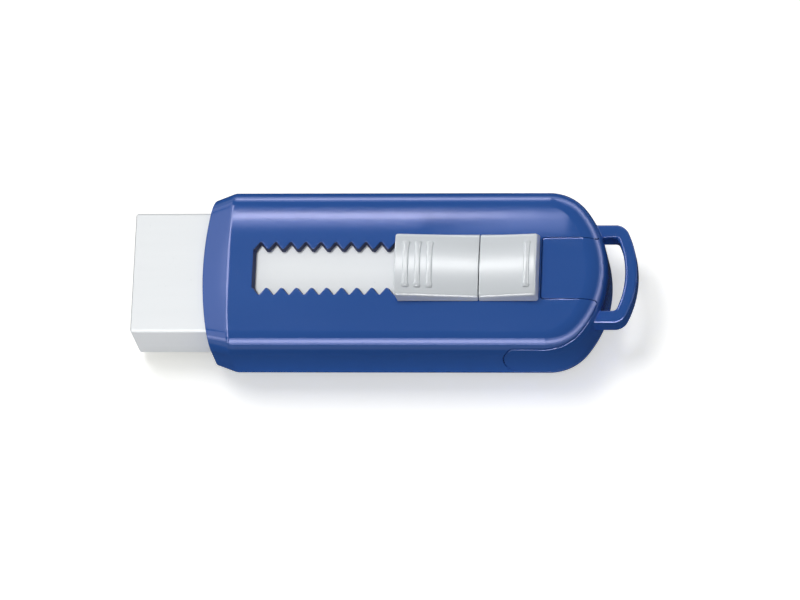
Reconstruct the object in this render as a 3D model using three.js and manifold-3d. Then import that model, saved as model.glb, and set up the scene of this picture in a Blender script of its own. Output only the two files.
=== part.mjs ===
// Eraser in a sliding sleeve, in millimetres.
// X runs along the sleeve with the eraser towards -X and the lanyard loop towards +X.
// Y runs across the sleeve, Z points up, and the origin is the centre of the flat underside.
// The slider is drawn at the rear end of its travel, with the eraser standing out of the mouth.
import * as THREE from "three";
import { mergeVertices } from "three/addons/utils/BufferGeometryUtils.js";
import Module from "manifold-3d";

const wasm = await Module();
wasm.setup();

// Eraser block
const ERASER_LENGTH = 65; // whole block, hidden part included
const ERASER_WIDTH = 20.8;
const ERASER_THICKNESS = 11.3;
const ERASER_REACH = 11.8; // how far the block stands out of the mouth
const ERASER_EDGE = 0.7; // rounding of the block's edges

// Fits
const RUNNING_GAP = 0.15; // pieces that slide past each other
const ERASER_FIT = 0.1; // block inside its carrier
const MOUTH_GAP = 0.3; // block inside the mouth
const PART_GAP = 0.12; // parting line between the end cap and the sleeve
const PRESS_FIT = 0.06; // pads on the carrier's rail
const STOP_GAP = 0.3; // left between the carrier and the mouth lip at full reach

// Sleeve
const REAR_ROOM = 12.6; // free length behind the carrier, rear wall included
const SIDE_WALL = 2.05;
const TOP_WALL = 1.2; // the underside has the same wall
const EDGE_RADIUS = 3.5; // long edges of the sleeve
const INNER_EDGE = 1.6; // long edges of the hollow
const CORNER_RADIUS = 8; // rear corners seen from above
const REAR_BOW_RADIUS = 18; // bowed rear end seen from above
const NOSE_LENGTH = 4.3; // tapered part behind the mouth
const NOSE_TAPER = 1.1; // narrowing of the nose on each side
const NOSE_EDGE = 2.6; // corner rounding at the rim
const RIM_BOW = 1.5; // the rim's middle stands ahead of its ends
const CREASE_BOW = 0.55; // the same for the crease where the taper starts
const LIP_LENGTH = 4.6; // thick part of the mouth that stops the carrier

// Toothed slot
const SLOT_SETBACK = 8.4; // mouth to the front end of the slot
const SLOT_WIDTH = 6.8; // between the tooth tips
const TOOTH_PITCH = 2.5;
const TOOTH_DEPTH = 1.2;
const TOOTH_FLAT = 0.3; // flat at each tip and valley
const SLOT_TEETH = 18;
const SLOT_RUNOUT = 0.9; // plain slot behind the spring's bend
const SLOT_BAR = 1.6; // closed end of the slot, in front of the end cap's tongue
const TRAVEL_CLICKS = 9; // teeth that the slider passes

// End cap
const ARM_LENGTH = 17.1; // side arms, from the rear end forwards
const ARM_NOSE = 2; // length of the arms' rounded front ends
const BAND_DROP = 1.7; // sleeve's top face to the band's upper edge
const BAND_RISE = 3.6; // underside to the band's lower edge
const TONGUE_CORNER = 0.5;
const NUB_RADIUS = 0.5; // snap nubs on the arms' edges
const NUB_SETBACK = 6; // nubs, behind the arms' front ends
const NUB_DEPTH = 0.7;
const LOOP_WIDTH = 17.1;
const LOOP_ARM = 2.25;
const LOOP_BAR = 2;
const LOOP_REACH = 4.75; // behind the sleeve's rear end
const LOOP_THICKNESS = 4;
const LOOP_DROP = 1.2; // top of the loop below the band's top edge
const LOOP_CORNER = 2.4; // outer corners seen from above
const LOOP_INNER_CORNER = 0.8;
const LOOP_BOW_RADIUS = 17;
const LOOP_EDGE = 0.3;

// Carrier
const CHEEK_WALL = 1.4;
const BRIDGE_THICKNESS = 0.5;
const BRIDGE_OVERLAP = 0.5; // of the bridge under the slot's edges, past the tooth valleys
const BACK_WALL = 1.2;
const RAIL_WIDTH = 2;
const RAIL_HEIGHT = 0.8; // rail inside the pads
const RAIL_SETBACK = 1; // rail's front end, behind the front pad's front
const PEG_RADIUS = 0.7;

// Thumb pads
const FRONT_PAD_LENGTH = 14;
const REAR_PAD_LENGTH = 9.8;
const PAD_SEAM = 0.16; // fine groove between the two pads
const PAD_STOP = 0.3; // rear pad to the end cap's tongue
const PAD_LIFT = 0.15; // pads above the sleeve's top face
const PAD_WIDTH = 11.5;
const PAD_DRAFT = 0.45; // the pads narrow upwards by this much on each side
const PAD_FRONT_HEIGHT = 2;
const PAD_SEAM_HEIGHT = 0.95;
const PAD_REAR_HEIGHT = 2.05;
const PAD_CROWN = 0.6; // middle of a pad above its long edges
const PAD_EDGE = 0.4;
const SEAM_EDGE = 0.14;
const PAD_WALL = 1.1;
const RIB_RADIUS = 0.5;
const RIB_HEIGHT = 0.45;
const RIB_LENGTH = 8;
const RIB_PITCH = 1.94;
const FRONT_RIBS = 3;
const RIB_INSET = 1.95; // first rib from the pad's outer end
const REAR_RIB_INSET = 1.9; // the rear pad's rib, the same way

// Detent spring
const SPRING_STRIP = 0.35; // thickness of the strip
const SPRING_HEIGHT = 1;
const SPRING_VALLEY = 13; // tooth valley that the noses sit in, counted from the front
const SPRING_LEG_GAP = 1.15; // legs inside the tooth tips
const SPRING_NOSE_GAP = 0.4; // nose tips short of the valleys
const SPRING_NOSE_HALF = 1.35;
const SPRING_LEG = 9.2; // nose to the middle of the bend at the rear
const SPRING_TAIL = 2.4; // nose to the hooked front ends
const SPRING_HOOK = 0.3; // hooks inside the rail's sides
const SPRING_CLEAR = 0.25;

const BLUE = 0x2f5392;
const WHITE = 0xeef2f5;
const ERASER_WHITE = 0xf1f4f4;
const STEEL = 0xb9bdc2;

// Sizes that follow from the ones above
const SLEEVE_LENGTH =
  ERASER_LENGTH - ERASER_REACH + ERASER_FIT + BACK_WALL + REAR_ROOM;
const SLEEVE_WIDTH =
  ERASER_WIDTH + 2 * (ERASER_FIT + CHEEK_WALL + RUNNING_GAP + SIDE_WALL);
const SLEEVE_TOP =
  ERASER_THICKNESS + 2 * (ERASER_FIT + BRIDGE_THICKNESS + RUNNING_GAP + TOP_WALL);
const MOUTH = -SLEEVE_LENGTH / 2;
const REAR = SLEEVE_LENGTH / 2;
const MID_Z = SLEEVE_TOP / 2;
const CEILING = SLEEVE_TOP - TOP_WALL;
const BRIDGE_TOP = CEILING - RUNNING_GAP;
const CAVITY_FRONT = MOUTH + LIP_LENGTH;
const TRAVEL = TRAVEL_CLICKS * TOOTH_PITCH;
const SLOT_FRONT = MOUTH + SLOT_SETBACK;
const LEG_Y = SLOT_WIDTH / 2 - SPRING_LEG_GAP;
const NOSE_X = SLOT_FRONT + (SPRING_VALLEY + 0.5) * TOOTH_PITCH;
const BEND_X = NOSE_X + SPRING_LEG;
const SPRING_END = BEND_X + LEG_Y + SPRING_STRIP / 2;
const TEETH_END = SLOT_FRONT + SLOT_TEETH * TOOTH_PITCH;
const SLOT_END = Math.max(TEETH_END, SPRING_END) + SLOT_RUNOUT;
const NOTCH_FRONT = SLOT_END + SLOT_BAR;
const BRIDGE_WIDTH = SLOT_WIDTH + 2 * (TOOTH_DEPTH + BRIDGE_OVERLAP);
const NOTCH_WIDTH = BRIDGE_WIDTH + 2 * (RUNNING_GAP + PART_GAP);
const ARM_FRONT = REAR - ARM_LENGTH;
const ERASER_TIP = MOUTH - ERASER_REACH;
const ERASER_END = ERASER_TIP + ERASER_LENGTH;
const CARRIER_END = ERASER_END + ERASER_FIT + BACK_WALL;
const CHEEK_FRONT = CAVITY_FRONT + TRAVEL + STOP_GAP;
const PAD_BASE = SLEEVE_TOP + PAD_LIFT;
const PAD_REAR = NOTCH_FRONT - PAD_STOP;
const SEAM = PAD_REAR - REAR_PAD_LENGTH;
const PAD_FRONT = SEAM - FRONT_PAD_LENGTH;
const NOSE_Y = SLOT_WIDTH / 2 + TOOTH_DEPTH - SPRING_NOSE_GAP - SPRING_STRIP / 2;
const HOOK_X = NOSE_X - SPRING_TAIL;
const RAIL_FRONT = PAD_FRONT + RAIL_SETBACK;
const RAIL_REAR = SPRING_END - SPRING_STRIP - SPRING_CLEAR;
const PAST = 5; // how far cutting tools reach past the faces they cut

// Solids
function solid(geometry) {
  const bare = geometry.clone();
  bare.deleteAttribute("normal");
  bare.deleteAttribute("uv");
  const merged = mergeVertices(bare, 1e-4);
  return new wasm.Manifold(
    new wasm.Mesh({
      numProp: 3,
      vertProperties: new Float32Array(merged.attributes.position.array),
      triVerts: new Uint32Array(merged.index.array),
    }),
  );
}

function block(x0, x1, y0, y1, z0, z1) {
  const box = new THREE.BoxGeometry(x1 - x0, y1 - y0, z1 - z0);
  return solid(box.translate((x0 + x1) / 2, (y0 + y1) / 2, (z0 + z1) / 2));
}

// A plan shape in X and Y raised from z0 to z1, with rounded edges where a radius is given.
function raise(shape, z0, z1, radius = 0, segments = 5) {
  const made = new THREE.ExtrudeGeometry(shape, {
    depth: z1 - z0 - 2 * radius,
    bevelEnabled: radius > 0,
    bevelThickness: radius,
    bevelSize: radius,
    bevelOffset: -radius,
    bevelSegments: segments,
    curveSegments: 5,
  });
  return solid(made.translate(0, 0, z0 + radius));
}

// A side shape drawn in X and Z, carried across the sleeve from y0 to y1.
function across(shape, y0, y1) {
  const made = new THREE.ExtrudeGeometry(shape, {
    depth: y1 - y0,
    bevelEnabled: false,
    curveSegments: 6,
  });
  return solid(made.rotateX(Math.PI / 2).translate(0, y1, 0));
}

// Closed skin over rings of the same number of points, each ring convex and facing -X first.
function loft(rings) {
  const count = rings[0].length;
  const position = [];
  const index = [];
  for (const ring of rings) {
    for (const point of ring) position.push(point.x, point.y, point.z);
  }
  for (let r = 0; r + 1 < rings.length; r++) {
    for (let i = 0; i < count; i++) {
      const a = r * count + i;
      const b = r * count + ((i + 1) % count);
      index.push(a, b, b + count, a, b + count, a + count);
    }
  }
  const last = (rings.length - 1) * count;
  for (let i = 1; i + 1 < count; i++) {
    index.push(0, i + 1, i);
    index.push(last, last + i, last + i + 1);
  }
  const made = new THREE.BufferGeometry();
  made.setAttribute("position", new THREE.Float32BufferAttribute(position, 3));
  made.setIndex(index);
  return solid(made);
}

// Points round a rounded rectangle in Y and Z, counterclockwise seen from +X.
function rectangleRing(halfY, halfZ, radius, along = 10, around = 5) {
  const points = [];
  const corners = [
    [1, 1, 0],
    [-1, 1, 90],
    [-1, -1, 180],
    [1, -1, 270],
  ];
  for (const [sy, sz, start] of corners) {
    const cy = sy * (halfY - radius);
    const cz = sz * (halfZ - radius);
    for (let i = 0; i <= around; i++) {
      const turn = THREE.MathUtils.degToRad(start + (90 * i) / around);
      points.push([cy + radius * Math.cos(turn), cz + radius * Math.sin(turn)]);
    }
    if (start % 180 === 0) {
      for (let i = 1; i < along; i++) {
        points.push([cy - (2 * cy * i) / along, cz + sz * radius]);
      }
    }
  }
  return points;
}

function rectangleShape(x0, x1, y0, y1, radius) {
  const shape = new THREE.Shape();
  shape.moveTo(x0 + radius, y0);
  shape.lineTo(x1 - radius, y0);
  shape.absarc(x1 - radius, y0 + radius, radius, -Math.PI / 2, 0, false);
  shape.lineTo(x1, y1 - radius);
  shape.absarc(x1 - radius, y1 - radius, radius, 0, Math.PI / 2, false);
  shape.lineTo(x0 + radius, y1);
  shape.absarc(x0 + radius, y1 - radius, radius, Math.PI / 2, Math.PI, false);
  shape.lineTo(x0, y0 + radius);
  shape.absarc(x0 + radius, y0 + radius, radius, Math.PI, 1.5 * Math.PI, false);
  return shape;
}

// The sleeve seen from above, drawn in from its outline by inset, from front to the bowed rear end.
function planShape(inset, front) {
  const half = SLEEVE_WIDTH / 2 - inset;
  const bowX = REAR - REAR_BOW_RADIUS;
  const cornerY = SLEEVE_WIDTH / 2 - CORNER_RADIUS;
  const cornerX = bowX + Math.sqrt((REAR_BOW_RADIUS - CORNER_RADIUS) ** 2 - cornerY ** 2);
  const bend = Math.atan2(cornerY, cornerX - bowX);
  const corner = CORNER_RADIUS - inset;
  const shape = new THREE.Shape();
  shape.moveTo(front, -half);
  shape.lineTo(cornerX, -half);
  shape.absarc(cornerX, -cornerY, corner, -Math.PI / 2, -bend, false);
  shape.absarc(bowX, 0, REAR_BOW_RADIUS - inset, -bend, bend, false);
  shape.absarc(cornerX, cornerY, corner, bend, Math.PI / 2, false);
  shape.lineTo(front, half);
  return shape;
}

// Outer body shared by the sleeve and the end cap: a rounded slab with a tapered, bowed nose.
const slab = raise(planShape(0, MOUTH - PAST), 0, SLEEVE_TOP, EDGE_RADIUS, 6);

function noseRing(step) {
  const halfY = SLEEVE_WIDTH / 2 - NOSE_TAPER + NOSE_TAPER * step;
  const halfZ = SLEEVE_TOP / 2 - NOSE_TAPER + NOSE_TAPER * step;
  const radius = NOSE_EDGE + (EDGE_RADIUS - NOSE_EDGE) * step;
  const bow = RIM_BOW + (CREASE_BOW - RIM_BOW) * step;
  const x = MOUTH + NOSE_LENGTH * step;
  return rectangleRing(halfY, halfZ, radius).map(
    ([y, z]) => new THREE.Vector3(x + bow * (y / halfY) ** 2, y, z + MID_Z),
  );
}

const nose = loft([
  noseRing(0),
  noseRing(3),
  noseRing(3).map((p) => new THREE.Vector3(REAR + PAST, p.y, p.z)),
]);
const body = slab.intersect(nose);
const cavity = raise(
  planShape(SIDE_WALL, CAVITY_FRONT),
  TOP_WALL,
  CEILING,
  INNER_EDGE,
  3,
);

// Band of the end cap seen from the side, grown by gap on every edge.
function bandSolid(gap) {
  const z0 = BAND_RISE - gap;
  const z1 = SLEEVE_TOP - BAND_DROP + gap;
  const front = ARM_FRONT - gap;
  const shape = new THREE.Shape();
  shape.moveTo(REAR + PAST, z0);
  shape.lineTo(REAR + PAST, z1);
  shape.lineTo(front + ARM_NOSE, z1);
  shape.absellipse(
    front + ARM_NOSE,
    (z0 + z1) / 2,
    ARM_NOSE,
    (z1 - z0) / 2,
    Math.PI / 2,
    1.5 * Math.PI,
    false,
  );
  return across(shape, -SLEEVE_WIDTH, SLEEVE_WIDTH);
}

// Tongue of the end cap, let into the sleeve's top face behind the slot, grown by gap on every edge.
function tongueSolid(gap) {
  const half = NOTCH_WIDTH / 2 - PART_GAP + gap;
  const front = NOTCH_FRONT + PART_GAP - gap;
  const shape = rectangleShape(front, REAR + PAST, -half, half, TONGUE_CORNER);
  return raise(shape, MID_Z, SLEEVE_TOP + PAST);
}

// Snap nubs on the upper and lower edges of both arms, grown by gap.
function nubs(gap) {
  const inner = SLEEVE_WIDTH / 2 - SIDE_WALL;
  const made = [];
  for (const side of [-1, 1]) {
    for (const z of [BAND_RISE, SLEEVE_TOP - BAND_DROP]) {
      const rod = new THREE.CylinderGeometry(
        NUB_RADIUS + gap,
        NUB_RADIUS + gap,
        NUB_DEPTH + gap,
        12,
      );
      const y = side * (inner + (NUB_DEPTH + gap) / 2);
      made.push(solid(rod.translate(ARM_FRONT + NUB_SETBACK, y, z)));
    }
  }
  return made.reduce((all, one) => all.add(one));
}

function sleeveSolid() {
  const halfTip = SLOT_WIDTH / 2;
  const halfValley = halfTip + TOOTH_DEPTH;
  const flat = TOOTH_FLAT / 2;
  const edge = [[SLOT_FRONT, halfTip]];
  for (let i = 0; i < SLOT_TEETH; i++) {
    const valley = SLOT_FRONT + (i + 0.5) * TOOTH_PITCH;
    const tip = SLOT_FRONT + (i + 1) * TOOTH_PITCH;
    edge.push([valley - flat, halfValley], [valley + flat, halfValley]);
    edge.push([tip - flat, halfTip], [tip + flat, halfTip]);
  }
  edge.push([SLOT_END, halfTip]);
  const mirrored = edge.map(([x, y]) => [x, -y]).reverse();
  const outline = [...edge, ...mirrored].map(([x, y]) => new THREE.Vector2(x, y));
  const slot = raise(new THREE.Shape(outline), MID_Z, SLEEVE_TOP + PAST);

  const halfY = ERASER_WIDTH / 2 + MOUTH_GAP;
  const halfZ = ERASER_THICKNESS / 2 + MOUTH_GAP;
  const opening = rectangleRing(halfY, halfZ, ERASER_EDGE);
  const mouth = loft(
    [MOUTH - PAST, CAVITY_FRONT + 1].map((x) =>
      opening.map(([y, z]) => new THREE.Vector3(x, y, z + MID_Z)),
    ),
  );
  return body
    .subtract(cavity)
    .subtract(mouth)
    .subtract(slot)
    .subtract(tongueSolid(PART_GAP))
    .subtract(bandSolid(PART_GAP))
    .subtract(nubs(PART_GAP));
}

function loopSolid() {
  const bowX = REAR + LOOP_REACH - LOOP_BOW_RADIUS;
  const start = REAR - REAR_BOW_RADIUS / 2;
  const half = LOOP_WIDTH / 2;
  const cornerY = half - LOOP_CORNER;
  const cornerX = bowX + Math.sqrt((LOOP_BOW_RADIUS - LOOP_CORNER) ** 2 - cornerY ** 2);
  const bend = Math.atan2(cornerY, cornerX - bowX);
  const innerHalf = half - LOOP_ARM;
  const innerRadius = LOOP_BOW_RADIUS - LOOP_BAR;
  const innerY = innerHalf - LOOP_INNER_CORNER;
  const innerX = bowX + Math.sqrt((innerRadius - LOOP_INNER_CORNER) ** 2 - innerY ** 2);
  const innerBend = Math.atan2(innerY, innerX - bowX);
  const shape = new THREE.Shape();
  shape.moveTo(start, -half);
  shape.lineTo(cornerX, -half);
  shape.absarc(cornerX, -cornerY, LOOP_CORNER, -Math.PI / 2, -bend, false);
  shape.absarc(bowX, 0, LOOP_BOW_RADIUS, -bend, bend, false);
  shape.absarc(cornerX, cornerY, LOOP_CORNER, bend, Math.PI / 2, false);
  shape.lineTo(start, half);
  shape.lineTo(start, innerHalf);
  shape.lineTo(innerX, innerHalf);
  shape.absarc(innerX, innerY, LOOP_INNER_CORNER, Math.PI / 2, innerBend, true);
  shape.absarc(bowX, 0, innerRadius, innerBend, -innerBend, true);
  shape.absarc(innerX, -innerY, LOOP_INNER_CORNER, -innerBend, -Math.PI / 2, true);
  shape.lineTo(start, -innerHalf);
  const top = SLEEVE_TOP - BAND_DROP - LOOP_DROP;
  return raise(shape, top - LOOP_THICKNESS, top, LOOP_EDGE, 3);
}

function endCapSolid() {
  const shell = body.intersect(bandSolid(0).add(tongueSolid(0)).subtract(cavity));
  return shell.add(loopSolid().subtract(cavity)).add(nubs(0));
}

// The block round its own centre; its group puts it into the carrier.
function eraserSolid() {
  const x = ERASER_LENGTH / 2;
  const y = ERASER_WIDTH / 2;
  const z = ERASER_THICKNESS / 2;
  return raise(rectangleShape(-x, x, -y, y, ERASER_EDGE), -z, z, ERASER_EDGE * 0.98, 4);
}

// Height of the pads' crowned top above their base on the middle line, lowest at the seam.
function padHeight(x) {
  const ahead = x < SEAM;
  const length = ahead ? FRONT_PAD_LENGTH : REAR_PAD_LENGTH;
  const rise = (ahead ? PAD_FRONT_HEIGHT : PAD_REAR_HEIGHT) - PAD_SEAM_HEIGHT;
  const share = Math.abs(x - SEAM) / length;
  return PAD_SEAM_HEIGHT + PAD_CROWN + rise * (0.7 * share + 0.3 * share ** 2);
}

// One cross-section of a pad at x, drawn in by inset, with its foot at z0.
function padRing(x, inset, z0) {
  const foot = PAD_WIDTH / 2 - inset;
  const half = foot - PAD_DRAFT;
  const peak = padHeight(x) - inset;
  const edge = PAD_EDGE;
  const points = [
    [-foot, z0],
    [foot, z0],
    [half, PAD_BASE + peak - PAD_CROWN - edge],
  ];
  const flat = half - edge;
  const steps = 10;
  for (let i = 0; i <= steps; i++) {
    const y = flat - (2 * flat * i) / steps;
    points.push([y, PAD_BASE + peak - PAD_CROWN * (y / half) ** 2]);
  }
  points.push([-half, PAD_BASE + peak - PAD_CROWN - edge]);
  return points.map(([y, z]) => new THREE.Vector3(x, y, z));
}

// A pad's outside, or its hollow when wall is given; edges holds the rounding at its two ends.
function padBlock(x0, x1, edges, wall) {
  const places = [];
  const steps = 8;
  const [first, last] = edges;
  places.push([x0, first], [x0 + first * 0.3, first * 0.3]);
  for (let i = 0; i <= steps; i++) {
    places.push([x0 + first + ((x1 - last - x0 - first) * i) / steps, 0]);
  }
  places.push([x1 - last * 0.3, last * 0.3], [x1, last]);
  const floor = wall > 0 ? PAD_BASE - PAST : PAD_BASE;
  return loft(places.map(([x, inset]) => padRing(x, inset + wall, floor)));
}

function ribSolid(x) {
  const peak = PAD_BASE + padHeight(x) + RIB_HEIGHT - RIB_RADIUS;
  const half = RIB_LENGTH / 2;
  const drop = PAD_CROWN * (RIB_LENGTH / PAD_WIDTH) ** 2;
  const line = new THREE.QuadraticBezierCurve3(
    new THREE.Vector3(x, -half, peak - drop),
    new THREE.Vector3(x, 0, peak + drop),
    new THREE.Vector3(x, half, peak - drop),
  );
  const round = new THREE.Shape();
  round.absarc(0, 0, RIB_RADIUS, 0, 2 * Math.PI, false);
  const made = new THREE.ExtrudeGeometry(round, {
    steps: 8,
    curveSegments: 6,
    extrudePath: line,
  });
  return solid(made);
}

function pegTop(x) {
  return PAD_BASE + padHeight(x) - PAD_WALL;
}

function pegSolid(x, gap) {
  const z0 = PAD_BASE - RAIL_HEIGHT;
  const z1 = pegTop(x) - PRESS_FIT + gap;
  const rod = new THREE.CylinderGeometry(PEG_RADIUS + gap, PEG_RADIUS + gap, z1 - z0, 16);
  return solid(rod.rotateX(Math.PI / 2).translate(x, 0, (z0 + z1) / 2));
}

function padSolid(x0, x1, edges, ribs, pegX) {
  const outside = padBlock(x0, x1, edges, 0);
  const hollow = padBlock(x0 + PAD_WALL, x1 - PAD_WALL, edges, PAD_WALL);
  const half = RAIL_WIDTH / 2 + PRESS_FIT;
  const holder = block(x0, x1, -half - PAD_WALL, half + PAD_WALL, PAD_BASE, PAD_BASE + PAST);
  const socket = block(
    RAIL_FRONT - PRESS_FIT,
    RAIL_REAR + PRESS_FIT,
    -half,
    half,
    PAD_BASE - PAST,
    PAD_BASE + RAIL_HEIGHT + PRESS_FIT,
  );
  return ribs
    .reduce((made, x) => made.add(ribSolid(x)), outside)
    .subtract(hollow.subtract(holder))
    .subtract(socket)
    .subtract(pegSolid(pegX, PRESS_FIT));
}

const frontPeg = SEAM - FRONT_PAD_LENGTH / 2;
const rearPeg = (SEAM + RAIL_REAR) / 2;

function frontPadSolid() {
  const ribs = [];
  for (let i = 0; i < FRONT_RIBS; i++) ribs.push(PAD_FRONT + RIB_INSET + i * RIB_PITCH);
  return padSolid(PAD_FRONT, SEAM - PAD_SEAM / 2, [PAD_EDGE, SEAM_EDGE], ribs, frontPeg);
}

function rearPadSolid() {
  const ribs = [PAD_REAR - REAR_RIB_INSET];
  return padSolid(SEAM + PAD_SEAM / 2, PAD_REAR, [SEAM_EDGE, PAD_EDGE], ribs, rearPeg);
}

function carrierSolid() {
  const inner = ERASER_WIDTH / 2 + ERASER_FIT;
  const outer = inner + CHEEK_WALL;
  const z0 = BAND_RISE + RUNNING_GAP;
  const z1 = CEILING - INNER_EDGE - RUNNING_GAP;
  const back = CARRIER_END - BACK_WALL;
  const half = BRIDGE_WIDTH / 2;
  const bridgeFloor = BRIDGE_TOP - BRIDGE_THICKNESS;
  const halfRail = RAIL_WIDTH / 2;
  const railTop = PAD_BASE + RAIL_HEIGHT;
  const rail = block(RAIL_FRONT, RAIL_REAR, -halfRail, halfRail, bridgeFloor, railTop);
  const hookRoom = SPRING_STRIP / 2 + SPRING_CLEAR;
  const notches = [-1, 1].map((side) => {
    const y0 = halfRail - SPRING_HOOK - SPRING_CLEAR;
    const y = [side * y0, side * RAIL_WIDTH].sort((a, b) => a - b);
    return block(HOOK_X - hookRoom, HOOK_X + hookRoom, y[0], y[1], BRIDGE_TOP, SLEEVE_TOP);
  });
  const pieces = [
    block(CHEEK_FRONT, CARRIER_END, inner, outer, z0, z1),
    block(CHEEK_FRONT, CARRIER_END, -outer, -inner, z0, z1),
    block(back, CARRIER_END, -outer, outer, z0, z1),
    block(back, CARRIER_END, -half, half, MID_Z, BRIDGE_TOP),
    block(RAIL_FRONT, CARRIER_END, -half, half, bridgeFloor, BRIDGE_TOP),
    rail.subtract(notches[0]).subtract(notches[1]),
    pegSolid(frontPeg, 0),
    pegSolid(rearPeg, 0),
  ];
  return pieces.reduce((all, one) => all.add(one));
}

// A strip of the given thickness bent along points in X and Y.
function strip(points, thickness) {
  const left = [];
  const right = [];
  points.forEach((point, i) => {
    const before = points[Math.max(i - 1, 0)];
    const after = points[Math.min(i + 1, points.length - 1)];
    const a = point.clone().sub(before);
    const b = after.clone().sub(point);
    if (i === 0) a.copy(b);
    if (i === points.length - 1) b.copy(a);
    const way = a.normalize().add(b.normalize()).normalize();
    const stretch = thickness / 2 / Math.abs(way.dot(b.normalize()));
    const offset = new THREE.Vector2(-way.y, way.x).multiplyScalar(stretch);
    left.push(point.clone().add(offset));
    right.push(point.clone().sub(offset));
  });
  return new THREE.Shape([...left, ...right.reverse()]);
}

function springSolid() {
  const leg = [
    [HOOK_X, RAIL_WIDTH / 2 - SPRING_HOOK],
    [HOOK_X, LEG_Y - 0.3],
    [HOOK_X + 0.3, LEG_Y],
    [NOSE_X - SPRING_NOSE_HALF, LEG_Y],
    [NOSE_X - 0.2, NOSE_Y],
    [NOSE_X + 0.2, NOSE_Y],
    [NOSE_X + SPRING_NOSE_HALF, LEG_Y],
  ];
  const bend = [];
  const steps = 16;
  for (let i = 0; i <= steps; i++) {
    const turn = Math.PI / 2 - (Math.PI * i) / steps;
    bend.push([BEND_X + LEG_Y * Math.cos(turn), LEG_Y * Math.sin(turn)]);
  }
  const back = leg.map(([x, y]) => [x, -y]).reverse();
  const points = [...leg, ...bend, ...back].map(([x, y]) => new THREE.Vector2(x, y));
  const middle = (BRIDGE_TOP + PAD_BASE) / 2;
  return raise(
    strip(points, SPRING_STRIP),
    middle - SPRING_HEIGHT / 2,
    middle + SPRING_HEIGHT / 2,
  );
}

// Scene graph: one group for each set of pieces that moves together
const root = new THREE.Group();
root.name = "sliding_eraser";
const sleeveGroup = new THREE.Group();
const sliderGroup = new THREE.Group();
const refillGroup = new THREE.Group();
root.add(sleeveGroup, sliderGroup);
sliderGroup.add(refillGroup);

function addNode(group, name, made, color, roughness, metalness) {
  const mesh = made.getMesh();
  const geometry = new THREE.BufferGeometry();
  const position = new Float32Array(mesh.numVert * 3);
  for (let i = 0; i < mesh.numVert; i++) {
    const from = i * mesh.numProp;
    position.set(mesh.vertProperties.subarray(from, from + 3), i * 3);
  }
  geometry.setAttribute("position", new THREE.BufferAttribute(position, 3));
  geometry.setIndex(new THREE.BufferAttribute(mesh.triVerts, 1));
  geometry.computeVertexNormals();
  const material = new THREE.MeshStandardMaterial({ color, roughness, metalness });
  const node = new THREE.Mesh(geometry, material);
  node.name = name;
  group.add(node);
  return node;
}

addNode(sleeveGroup, "sleeve", sleeveSolid(), BLUE, 0.25, 0);
addNode(sleeveGroup, "end_cap", endCapSolid(), BLUE, 0.25, 0);
addNode(sliderGroup, "carrier", carrierSolid(), WHITE, 0.45, 0);
addNode(sliderGroup, "front_thumb_pad", frontPadSolid(), WHITE, 0.35, 0);
addNode(sliderGroup, "rear_thumb_pad", rearPadSolid(), WHITE, 0.35, 0);
addNode(sliderGroup, "detent_spring", springSolid(), STEEL, 0.3, 1);
addNode(refillGroup, "eraser_block", eraserSolid(), ERASER_WHITE, 0.75, 0);
refillGroup.position.set((ERASER_TIP + ERASER_END) / 2, 0, MID_Z);

export default root;
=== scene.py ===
# %% [markdown]
# # A sliding eraser
# The object is a white eraser block in a flat blue plastic sleeve. A ribbed thumb slider pushes the
# block out of the mouth and clicks along a toothed slot, and an end cap with a lanyard loop closes
# the rear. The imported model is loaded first: it fixes where each piece sits and which body it moves
# with. What shows is then modelled again with softer edges and real finishes, in the same places.

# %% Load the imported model
from math import atan2, cos, degrees, pi, radians, sin, sqrt
import bmesh
import bpy
from mathutils import Matrix, Vector


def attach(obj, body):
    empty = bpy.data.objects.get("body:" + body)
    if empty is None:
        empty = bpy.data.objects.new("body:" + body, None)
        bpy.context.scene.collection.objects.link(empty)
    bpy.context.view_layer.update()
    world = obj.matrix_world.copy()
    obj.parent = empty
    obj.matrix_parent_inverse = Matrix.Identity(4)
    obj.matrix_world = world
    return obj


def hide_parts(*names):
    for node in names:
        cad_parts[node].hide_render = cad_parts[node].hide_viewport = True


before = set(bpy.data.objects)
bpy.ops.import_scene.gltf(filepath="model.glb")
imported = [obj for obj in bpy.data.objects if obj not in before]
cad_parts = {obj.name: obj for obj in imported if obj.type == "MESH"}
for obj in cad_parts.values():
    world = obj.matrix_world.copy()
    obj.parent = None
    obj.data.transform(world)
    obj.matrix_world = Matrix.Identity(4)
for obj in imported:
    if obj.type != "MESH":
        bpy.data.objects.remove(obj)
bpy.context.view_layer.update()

print("nodes:", ", ".join(sorted(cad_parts)))

# %% [markdown]
# ## A few hand tools
# Modelling by operator means one thing at a time: put everything down, take one piece, pick some of
# its points, edges or faces, and act on them. These helpers do the taking and picking. Sizes are
# written in millimetres because that is how such a thing is drawn, and `at` turns them into
# Blender's metres.

# %% Taking and picking
MM = 0.001
WELD = 1e-6  # in metres, points this close are merged
X, Y, Z = range(3)
HAIR = 0.01  # in millimetres, close enough to lie in a plane
SAME_ROW = 0.002  # the same for points of one row


def at(x, y, z):
    return (x * MM, y * MM, z * MM)


def put_down():
    if bpy.context.mode != "OBJECT":
        bpy.ops.object.mode_set(mode="OBJECT")
    bpy.ops.object.select_all(action="DESELECT")


def take(piece):
    put_down()
    piece.select_set(True)
    bpy.context.view_layer.objects.active = piece


def edit(piece):
    take(piece)
    bpy.ops.object.mode_set(mode="EDIT")
    bpy.ops.mesh.select_all(action="DESELECT")


def parts_of(kind):
    shape = bmesh.from_edit_mesh(bpy.context.object.data)
    return {"VERT": shape.verts, "EDGE": shape.edges, "FACE": shape.faces}[kind]


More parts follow.
